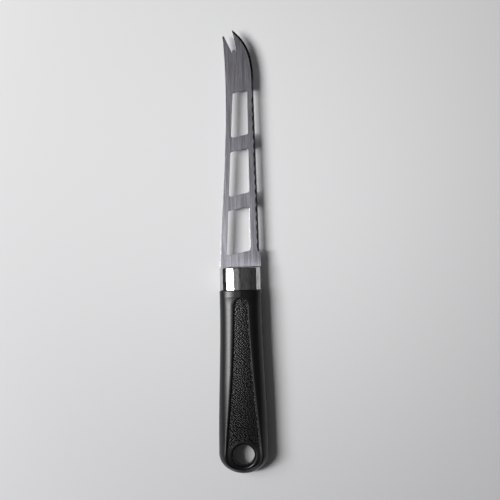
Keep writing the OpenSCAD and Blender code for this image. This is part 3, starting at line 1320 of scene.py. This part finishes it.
    def stations(self) -> np.ndarray:
        """Places of the sections, counted from the handle's front.

        Returns:
            The distances, ascending.
        """
        arch_end, rear = self.panel_start + self.arch_length, self.panel_end - self.butt_start
        patch_start = self.length - self.hole_back - self.hole_d * self.patch_start_share
        arch = np.linspace(0, math.pi / 2, self.arch_sections)[:-1]
        rear_turns = np.linspace(0, math.pi / 2, self.rear_sections)
        first, last = math.asin(rear / self.butt_length), math.radians(self.last_butt_deg)
        butt = np.linspace(first, last, self.butt_sections)[1:]
        groups = [
            np.linspace(self.front_round, self.panel_start, self.front_sections)[:-1],
            self.panel_start + self.arch_length * (1 - np.cos(arch)),
            np.linspace(arch_end, patch_start, self.middle_sections)[:-1],
            np.linspace(patch_start, self.butt_start, self.hole_sections)[:-1],
            self.butt_start + rear * np.sin(rear_turns),
            self.butt_start + self.butt_length * np.sin(butt),
        ]
        return np.concatenate(groups)

    def section(self, s: float) -> np.ndarray:
        """A whole section, counted from +x over the top, seen from the tip clockwise.

        Args:
            s: Distance from the handle's front.

        Returns:
            The section's points.
        """
        quarter = self.quarter(s)
        left = [(-x, z) for x, z in quarter[-2::-1]]
        under = [(-x, -z) for x, z in quarter[1:]]
        right = [(x, -z) for x, z in quarter[-2:0:-1]]
        return np.array([(x, self.start - s, z) for x, z in quarter + left + under + right])

    def front_rows(self) -> list[np.ndarray]:
        """The spigot and the rounded front face, with as many points as a section.

        Returns:
            The rows of points, from the spigot's end on.
        """
        first = self.section(self.front_round)
        angles = np.arctan2(first[:, 2] / self.thickness, first[:, 0] / self.front_width)
        rows = []
        chamfer, front = self.spigot_chamfer, self.spigot_front
        for shrink, y in ((chamfer, front), (0.0, front - chamfer), (0.0, self.start)):
            x = (self.spigot_width / 2 - shrink) * np.cos(angles)
            z = (self.spigot_thickness / 2 - shrink) * np.sin(angles)
            rows.append(np.stack([x, np.full(len(x), y), z], axis=1))
        out = first[:, [0, 2]] / np.linalg.norm(first[:, [0, 2]], axis=1)[:, None]
        for turn in np.radians(self.front_turns_deg):
            row = first.copy()
            row[:, [0, 2]] -= out * self.front_round * (1 - math.cos(turn))
            row[:, 1] = self.start - self.front_round * (1 - math.sin(turn))
            rows.append(row)
        return rows

    def floor_point(self, x: float, s: float, side: Side) -> tuple[float, float, float]:
        """A point of the panel's floor.

        Args:
            x: The point's distance from the axis.
            s: Its distance from the handle's front.
            side: The broad side of the knife.

        Returns:
            The point's x, y and z.
        """
        floor = self.panel_half(s, self.wall_run)
        crown = self.crown(s) * (1 - (x / floor) ** 2)
        z = self.rise(s) - self.panel_depth * self.sunk(s) + crown
        return x, self.start - s, z * side.value

    def hole_side(self, shell: Shell, edge: list[int], side: Side) -> list[int]:
        """Fills one side between the panel's floor and the hole, with a rounded rim.

        Args:
            shell: The handle so far.
            edge: Numbers of the points round the opening in the floor.
            side: The broad side of the knife.

        Returns:
            The numbers of the points at the bottom of the rim.
        """
        centre = np.array([0, self.start - self.length + self.hole_back])
        r = self.hole_d / 2
        outer = np.array([shell.points[n][:2] for n in edge]) - centre
        angles = np.arctan2(outer[:, 1], outer[:, 0])
        ray = np.stack([np.cos(angles), np.sin(angles)], axis=1)
        rim = ray * (r + self.rim_width)
        before = edge
        for t in np.linspace(0, 1, self.patch_rings + 1)[1:]:
            places = outer * (1 - t) + rim * t + centre
            row = shell.ring([self.floor_point(x, self.start - y, side) for x, y in places])
            shell.band(before, row)
            before = row
        top = np.array([shell.points[n][2] for n in before])
        for turn in np.radians(np.linspace(self.rim_first_deg, 90, self.rim_rings)):
            places = ray * (r + self.rim_width * (1 - math.sin(turn))) + centre
            z = top - side.value * self.rim_depth * (1 - math.cos(turn))
            row = shell.ring(np.column_stack([places, z]))
            shell.band(before, row)
            before = row
        return before

    def body(self) -> Shell:
        """The whole moulding.

        Returns:
            The moulding.
        """
        stations = self.stations()
        rows = self.front_rows() + [self.section(s) for s in stations]
        shell = Shell([], [])
        rings = [shell.ring(row) for row in rows]
        per, quarter = len(rings[0]), len(rings[0]) // 4
        first_row = len(rings) - len(stations)
        hole_s = self.length - self.hole_back
        reach = self.hole_d / 2 + self.rim_width
        low = first_row + int(np.searchsorted(stations, hole_s - reach * self.patch_front_share))
        high = first_row + int(np.searchsorted(stations, hole_s + reach * self.patch_rear_share))
        wide = self.floor_columns - self.patch_margin
        middles = {Side.UPPER: quarter, Side.LOWER: 3 * quarter}
        spans = {side: (middle - wide, middle + wide) for side, middle in middles.items()}
        for i, (first, second) in enumerate(zip(rings, rings[1:])):
            for k in range(per):
                in_patch = low <= i < high and any(a <= k < b for a, b in spans.values())
                if not in_patch:
                    n = (k + 1) % per
                    shell.faces.append((first[k], first[n], second[n], second[k]))
        shell.faces.append(tuple(rings[0][::-1]))
        shell.faces.append(tuple(rings[-1]))
        rims = {}
        for side, (a, b) in spans.items():
            edge = [rings[low][k] for k in range(a, b)] + [rings[i][b] for i in range(low, high)]
            edge += [rings[high][k] for k in range(b, a, -1)] + [rings[i][a] for i in range(high, low, -1)]
            rims[side] = self.hole_side(shell, edge, side)
        upper, lower = rims[Side.UPPER], rims[Side.LOWER]
        places = {n: shell.points[n][:2] for n in upper + lower}
        below = [min(lower, key=lambda m: math.dist(places[m], places[n])) for n in upper]
        shell.band(upper, below)
        return shell

    def mark_grain(self, piece: bpy.types.Object, seat: Seat) -> None:
        """Stores on each point its share of the panel's grain, which also sets its painted light.

        Args:
            piece: The handle.
            seat: The drawing's place in the frame.
        """
        points = np.array([v.co for v in piece.data.vertices]) / MM
        x, s = np.abs(points[:, 0]), self.start - (points[:, 1] - seat.y / MM)
        hole_s = self.length - self.hole_back
        floor = np.array([self.panel_half(v, self.wall_run) if 0 < v < self.length else 0 for v in s])
        within = smooth_step((floor - x) / self.grain_side_fade + self.grain_side_share)
        before_end = smooth_step((self.length - self.grain_end_back - s) / self.grain_fade)
        clear = smooth_step((np.hypot(x, s - hole_s) - self.grain_clear_r) / self.grain_fade)
        after_start = smooth_step((s - self.panel_start - self.wall_run / 2) / self.grain_start_fade)
        outside = np.abs(points[:, 2] - seat.z / MM) > self.thickness / 4
        # Shallower grain towards the butt, which also fades the valleys' painted light
        level = 1 - (1 - self.grain_and_painted_light_rear_share) * smooth_step(s / (self.length - self.grain_end_back))
        value = within * before_end * clear * after_start * outside * level
        mask = piece.data.attributes.new(self.GRAIN, "FLOAT", "POINT")
        mask.data.foreach_set("value", value.astype(np.float32))

    def build(self, seat: Seat) -> bpy.types.Object:
        """Makes the handle and dresses it.

        Args:
            seat: The drawing's place in the frame.

        Returns:
            The handle.
        """
        piece = self.body().piece("moulded_handle", seat, self.crease_deg)
        self.mark_grain(piece, seat)
        piece.data.materials.append(MouldedPlastic().make())
        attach(piece, BODY)
        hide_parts("handle")
        return piece


# The studio


@dataclass(frozen=True)
class Softbox:
    """A flat lamp beside the knife, its long sides along it.

    Its angles are counted from straight up towards the spine's side, as the knife sees it.
    """

    name: str
    inner_deg: float
    outer_deg: float
    near_y: float
    far_y: float
    radiance: float
    distance: float = 1.2

    def build(self) -> None:
        """Hangs the lamp."""
        middle = math.radians((self.inner_deg + self.outer_deg) / 2)
        half = math.radians((self.outer_deg - self.inner_deg) / 2)
        light = bpy.data.lights.new(self.name, "AREA")
        light.shape = "RECTANGLE"
        light.size = 2 * self.distance * math.tan(half)
        light.size_y = self.far_y - self.near_y
        light.energy = self.radiance * math.pi * light.size * light.size_y
        lamp = bpy.data.objects.new(self.name, light)
        bpy.context.scene.collection.objects.link(lamp)
        away = self.distance * Vector((-math.sin(middle), 0, math.cos(middle)))
        lamp.location = away + Vector((0, (self.near_y + self.far_y) / 2, 0))
        lamp.rotation_euler = (0, -middle, 0)


@dataclass
class Studio:
    """A pale floor, soft lamps, a dim room and a camera straight above.

    All lamps hang on the spine's side, but for one faint card low on the edge's side.
    """

    floor_size: float = 6.0
    # Painted light: the floor's colour is lighter beyond the tip than beyond the butt
    floor_far_painted_colour: str = "#F4F4F5"
    floor_near_painted_colour: str = "#E1E1E3"
    floor_ramp: float = 0.15
    floor_roughness: float = 0.7
    # Painted pool of light: the floor's colour is brightest at this place and falls off to the outer share
    # within the reach
    floor_painted_light_centre: tuple[float, float, float] = (0.05, 0.02, 0.0)
    floor_painted_light_reach: float = 0.2
    floor_painted_light_outer_share: float = 0.84
    lamps: tuple[Softbox, ...] = (
        Softbox("key_lamp", inner_deg=26, outer_deg=52, near_y=-0.14, far_y=0.028, radiance=38.0),
        Softbox("far_lamp", inner_deg=26, outer_deg=52, near_y=0.028, far_y=0.5, radiance=4.6),
        Softbox("low_lamp", inner_deg=52, outer_deg=57, near_y=-0.08, far_y=0.5, radiance=6.0),
        Softbox("white_card", inner_deg=5, outer_deg=26, near_y=-0.1, far_y=0.3, radiance=0.22),
        Softbox("rim_card", inner_deg=-88, outer_deg=-75, near_y=-0.3, far_y=0.3, radiance=0.6),
    )
    # Radiance of the pale ceiling straight overhead, and of the dim room round it
    ceiling: float = 0.09
    room: float = 0.05
    # How far up, as a share of straight up, the room starts to turn into the ceiling and ends
    ceiling_start_share: float = 0.78
    ceiling_full_share: float = 0.92
    # The lens stands over this place, at this height above the knife's mid-plane
    camera_x: float = 0.0056
    camera_y: float = 0.0006
    camera_height: float = 0.6
    view_width: float = 0.2706
    roll_deg: float = 1.25

    def floor(self) -> None:
        """Lays the floor, with painted light in its colour."""
        half = self.floor_size / 2
        mesh = bpy.data.meshes.new("floor")
        corners = [(-half, -half, 0), (half, -half, 0), (half, half, 0), (-half, half, 0)]
        mesh.from_pydata(corners, [], [(0, 1, 2, 3)])
        piece = bpy.data.objects.new("floor", mesh)
        bpy.context.scene.collection.objects.link(piece)
        material, tree = new_material("matt_pale_floor")
        place = add_node(tree, "ShaderNodeTexCoord").outputs["Object"]
        along = add_node(tree, "ShaderNodeSeparateXYZ", {"Vector": place}).outputs["Y"]
        # Painted light: lighter towards the tip, and scaled down away from the pool's centre
        ends = {"Value": along, "From Min": -self.floor_ramp, "From Max": self.floor_ramp}
        share = add_node(tree, "ShaderNodeMapRange", ends).outputs["Result"]
        colour = blended(tree, share, self.floor_near_painted_colour, self.floor_far_painted_colour)
        away = add_node(tree, "ShaderNodeVectorMath", {0: place, 1: self.floor_painted_light_centre}, operation="DISTANCE")
        level = add_node(
            tree,
            "ShaderNodeMapRange",
            {
                "Value": away.outputs["Value"],
                "From Max": self.floor_painted_light_reach,
                "To Min": 1.0,
                "To Max": self.floor_painted_light_outer_share,
            },
            interpolation_type="SMOOTHSTEP",
        )
        scaled = {0: colour, "Scale": level.outputs["Result"]}
        lit = add_node(tree, "ShaderNodeVectorMath", scaled, operation="SCALE")
        finish_shader(tree, Base_Color=lit.outputs["Vector"], Roughness=self.floor_roughness)
        mesh.materials.append(material)

    def sky(self) -> None:
        """Fills the room with dim light, a little brighter overhead."""
        world = bpy.data.worlds.new("dim_room")
        bpy.context.scene.world = world
        world.use_nodes = True
        tree = world.node_tree
        tree.nodes.clear()
        way = add_node(tree, "ShaderNodeTexCoord").outputs["Generated"]
        height = add_node(tree, "ShaderNodeSeparateXYZ", {"Vector": way}).outputs["Z"]
        level = add_node(
            tree,
            "ShaderNodeMapRange",
            {
                "Value": height,
                "From Min": self.ceiling_start_share,
                "From Max": self.ceiling_full_share,
                "To Min": self.room,
                "To Max": self.ceiling,
            },
        )
        back = add_node(tree, "ShaderNodeBackground", {"Color": level.outputs["Result"]})
        add_node(tree, "ShaderNodeOutputWorld", {"Surface": back.outputs["Background"]})

    def camera(self, seat: Seat) -> None:
        """Stands the camera over the knife, turned as in the photograph.

        Args:
            seat: The drawing's place in the frame.
        """
        data = bpy.data.cameras.new("overhead_camera")
        data.angle = 2 * math.atan(self.view_width / 2 / self.camera_height)
        camera = bpy.data.objects.new("overhead_camera", data)
        bpy.context.scene.collection.objects.link(camera)
        camera.location = (self.camera_x, self.camera_y, seat.z + self.camera_height)
        camera.rotation_euler = (0, 0, -math.radians(self.roll_deg))
        bpy.context.scene.camera = camera

    def build(self, seat: Seat) -> None:
        """Sets up the studio.

        Args:
            seat: The drawing's place in the frame.
        """
        self.camera(seat)
        self.floor()
        for lamp in self.lamps:
            lamp.build()
        self.sky()
        bpy.context.scene.view_settings.view_transform = "Standard"


def corners(box: tuple[Vector, Vector]) -> list[list[float]]:
    """A box's two corners as plain lists."""
    return [list(corner) for corner in box]


def main() -> None:
    """Builds the studio and the knife."""
    logging.basicConfig(level=logging.INFO, format="%(message)s")
    seat = Seat.from_frame()
    Studio().build(seat)
    for maker in (Blade(), Ferrule(), Handle()):
        piece = maker.build(seat)
        log.info("%s: %d points, %d faces", piece.name, len(piece.data.vertices), len(piece.data.polygons))


if __name__ == "__main__":
    main()
